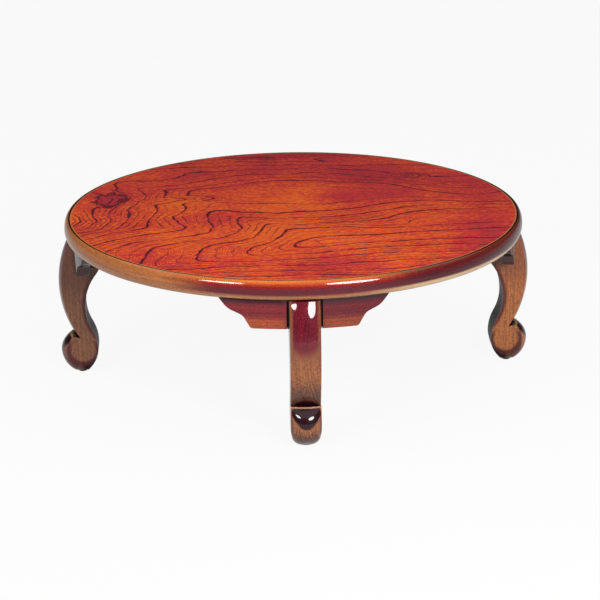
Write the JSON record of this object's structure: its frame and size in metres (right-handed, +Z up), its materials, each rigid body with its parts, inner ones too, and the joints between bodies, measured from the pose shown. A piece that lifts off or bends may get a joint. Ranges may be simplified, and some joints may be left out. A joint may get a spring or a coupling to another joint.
{
  "type": "folding low table",
  "caption": "Round low table for sitting on the floor, with a bullnose rim and ogee aprons, on curved scroll-foot legs that fold flat under the top.",
  "frame": {"origin": "on the floor under the middle of the table", "axes": "+Z up; -Y towards the front leg, +X towards the right leg"},
  "size_m": [0.9336, 0.9336, 0.32],
  "materials": {
    "top_veneer": "gloss",
    "rim_wood": "gloss",
    "leg_wood": "gloss",
    "apron_wood": "gloss",
    "core_board": "matt",
    "back_sheet": "matt",
    "block_wood": "matt",
    "bracket_steel": "satin",
    "bright_steel": "satin",
    "sleeve_plastic": "matt",
    "felt": "matt"
  },
  "bodies": {
    "table_top": {"face_panel": "top_veneer", "core_board": "core_board", "back_panel": "back_sheet", "rim_front_right": "rim_wood", "rim_back_right": "rim_wood", "rim_back_left": "rim_wood", "rim_front_left": "rim_wood", "apron_front_left": "apron_wood", "apron_front_right": "apron_wood", "apron_right_front": "apron_wood", "apron_right_back": "apron_wood", "apron_back_right": "apron_wood", "apron_back_left": "apron_wood", "apron_left_back": "apron_wood", "apron_left_front": "apron_wood", "apron_glue_blocks": "block_wood", "hinge_bracket_front": "bracket_steel", "hinge_bracket_right": "bracket_steel", "hinge_bracket_back": "bracket_steel", "hinge_bracket_left": "bracket_steel", "pivot_pin_front": "bright_steel", "pivot_pin_right": "bright_steel", "pivot_pin_back": "bright_steel", "pivot_pin_left": "bright_steel", "lock_spring_front": "bright_steel", "lock_spring_right": "bright_steel", "lock_spring_back": "bright_steel", "lock_spring_left": "bright_steel", "spring_rivets": "bright_steel", "pin_clips": "bright_steel", "bracket_screws": "bright_steel"},
    "front_leg": {"leg_front": "leg_wood", "pivot_sleeve_front": "sleeve_plastic", "foot_pad_front": "felt"},
    "right_leg": {"leg_right": "leg_wood", "pivot_sleeve_right": "sleeve_plastic", "foot_pad_right": "felt"},
    "back_leg": {"leg_back": "leg_wood", "pivot_sleeve_back": "sleeve_plastic", "foot_pad_back": "felt"},
    "left_leg": {"leg_left": "leg_wood", "pivot_sleeve_left": "sleeve_plastic", "foot_pad_left": "felt"}
  },
  "joints": [
    {"name": "front_leg_fold", "type": "hinge", "parent": "table_top", "child": "front_leg", "pos_m": [0, -0.4, 0.256], "axis": [1, 0, 0], "range_deg": [0, 90], "deforming": ["lock_spring_front"]},
    {"name": "right_leg_fold", "type": "hinge", "parent": "table_top", "child": "right_leg", "pos_m": [0.4, 0, 0.256], "axis": [0, 1, 0], "range_deg": [0, 90], "deforming": ["lock_spring_right"]},
    {"name": "back_leg_fold", "type": "hinge", "parent": "table_top", "child": "back_leg", "pos_m": [0, 0.4, 0.256], "axis": [-1, 0, 0], "range_deg": [0, 90], "deforming": ["lock_spring_back"]},
    {"name": "left_leg_fold", "type": "hinge", "parent": "table_top", "child": "left_leg", "pos_m": [-0.4, 0, 0.256], "axis": [0, -1, 0], "range_deg": [0, 90], "deforming": ["lock_spring_left"]}
  ]
}
